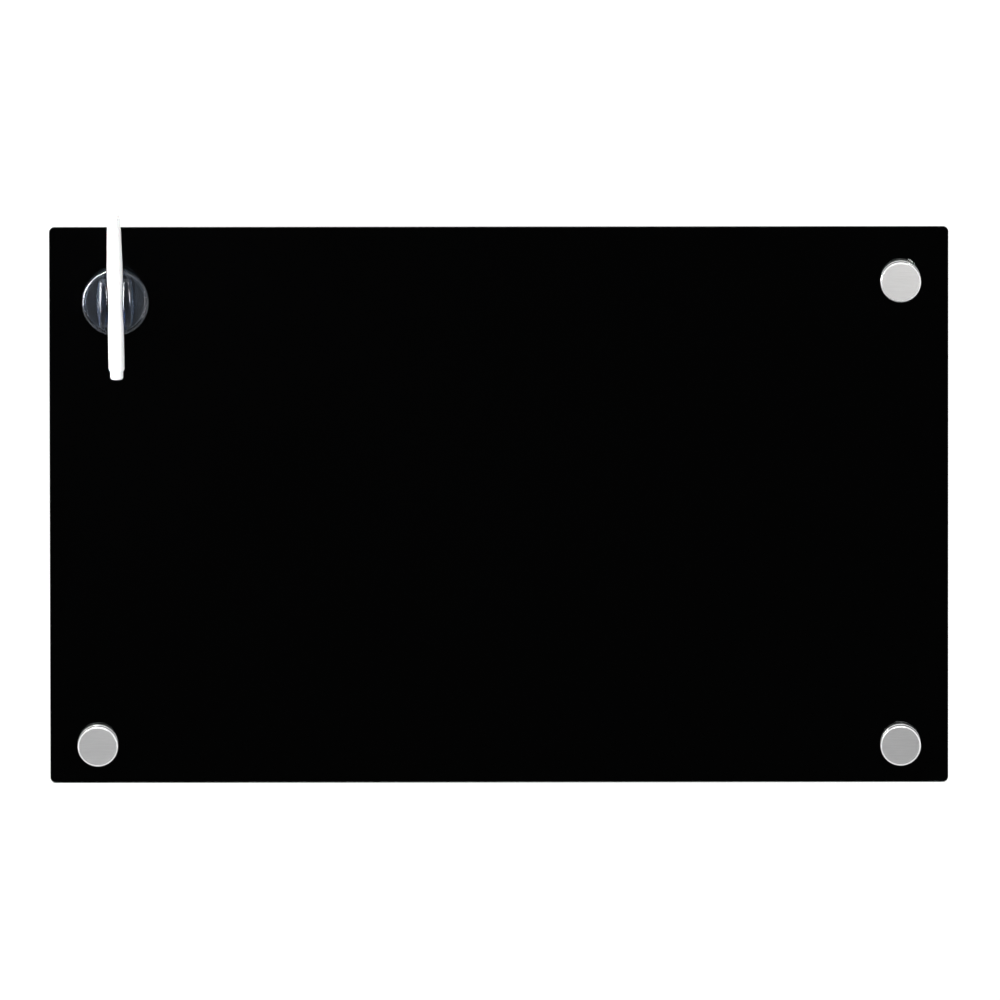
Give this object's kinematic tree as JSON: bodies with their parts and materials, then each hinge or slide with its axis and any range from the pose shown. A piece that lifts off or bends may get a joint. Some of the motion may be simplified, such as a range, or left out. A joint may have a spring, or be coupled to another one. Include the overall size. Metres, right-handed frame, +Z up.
{
  "type": "magnetic glass board",
  "caption": "Frameless black glass board on wall stand-offs, steel backed so that magnets hold, with a clear magnetic clip that carries a capped marker.",
  "frame": {"origin": "centre of the board on the wall plane", "axes": "+X to the viewer's right along the board, +Y into the wall, +Z up; the glass faces -Y"},
  "size_m": [0.8, 0.082, 0.5141],
  "materials": {
    "clear_glass": "polished float glass, faintly green at the ground edge",
    "black_film": "opaque black, seen through the glass",
    "steel_sheet": "zinc coated sheet, faint spangle",
    "satin_aluminium": "turned, satin face with a bright chamfer",
    "soft_clear": "frosted soft plastic",
    "zinc_fastener": "bright zinc",
    "grey_nylon": "moulded nylon",
    "black_rubber": "moulded rubber",
    "clear_plastic": "clear polished moulding, faintly blue grey",
    "nickel_magnet": "bright nickel plate",
    "white_plastic": "glossy moulded white",
    "ink_fibre": "ink soaked fibre"
  },
  "bodies": {
    "board": {"glass_panel": "clear_glass", "black_back_film": "black_film", "steel_sheet": "steel_sheet", "top_right_cap": "satin_aluminium", "top_right_gasket": "soft_clear", "top_right_bush": "soft_clear", "top_right_stud": "zinc_fastener", "top_right_rear_washer": "soft_clear", "top_right_barrel": "satin_aluminium", "top_right_wall_screw": "zinc_fastener", "top_right_wall_plug": "grey_nylon", "bottom_right_cap": "satin_aluminium", "bottom_right_gasket": "soft_clear", "bottom_right_bush": "soft_clear", "bottom_right_stud": "zinc_fastener", "bottom_right_rear_washer": "soft_clear", "bottom_right_barrel": "satin_aluminium", "bottom_right_wall_screw": "zinc_fastener", "bottom_right_wall_plug": "grey_nylon", "bottom_left_cap": "satin_aluminium", "bottom_left_gasket": "soft_clear", "bottom_left_bush": "soft_clear", "bottom_left_stud": "zinc_fastener", "bottom_left_rear_washer": "soft_clear", "bottom_left_barrel": "satin_aluminium", "bottom_left_wall_screw": "zinc_fastener", "bottom_left_wall_plug": "grey_nylon", "corner_bumper": "black_rubber", "corner_bumper_pad": "black_rubber"},
    "magnet": {"holder_magnet": "nickel_magnet", "holder_grip_pad": "black_rubber"},
    "clip": {"holder_clip": "clear_plastic"},
    "marker": {"marker_barrel": "white_plastic", "marker_end_plug": "white_plastic", "marker_reservoir": "ink_fibre", "marker_nib_holder": "white_plastic", "marker_nib": "ink_fibre"},
    "marker_cap": {"marker_cap": "white_plastic", "marker_cap_plug": "white_plastic"}
  },
  "joints": [
    {"name": "holder_slide", "type": "slide", "parent": "board", "child": "magnet", "axis": [1, 0, 0], "range_m": [-0.025, 0.45]},
    {"name": "clip_turn", "type": "hinge", "parent": "magnet", "child": "clip", "pos_m": [-0.341, -0.0214, 0.184], "axis": [0, -1, 0], "continuous": true},
    {"name": "marker_slide", "type": "slide", "parent": "clip", "child": "marker", "axis": [-0.0175, 0, 0.9998], "range_m": [-0.105, 0.095]},
    {"name": "cap_pull", "type": "slide", "parent": "marker", "child": "marker_cap", "axis": [-0.0175, 0, 0.9998], "range_m": [0, 0.05]}
  ]
}
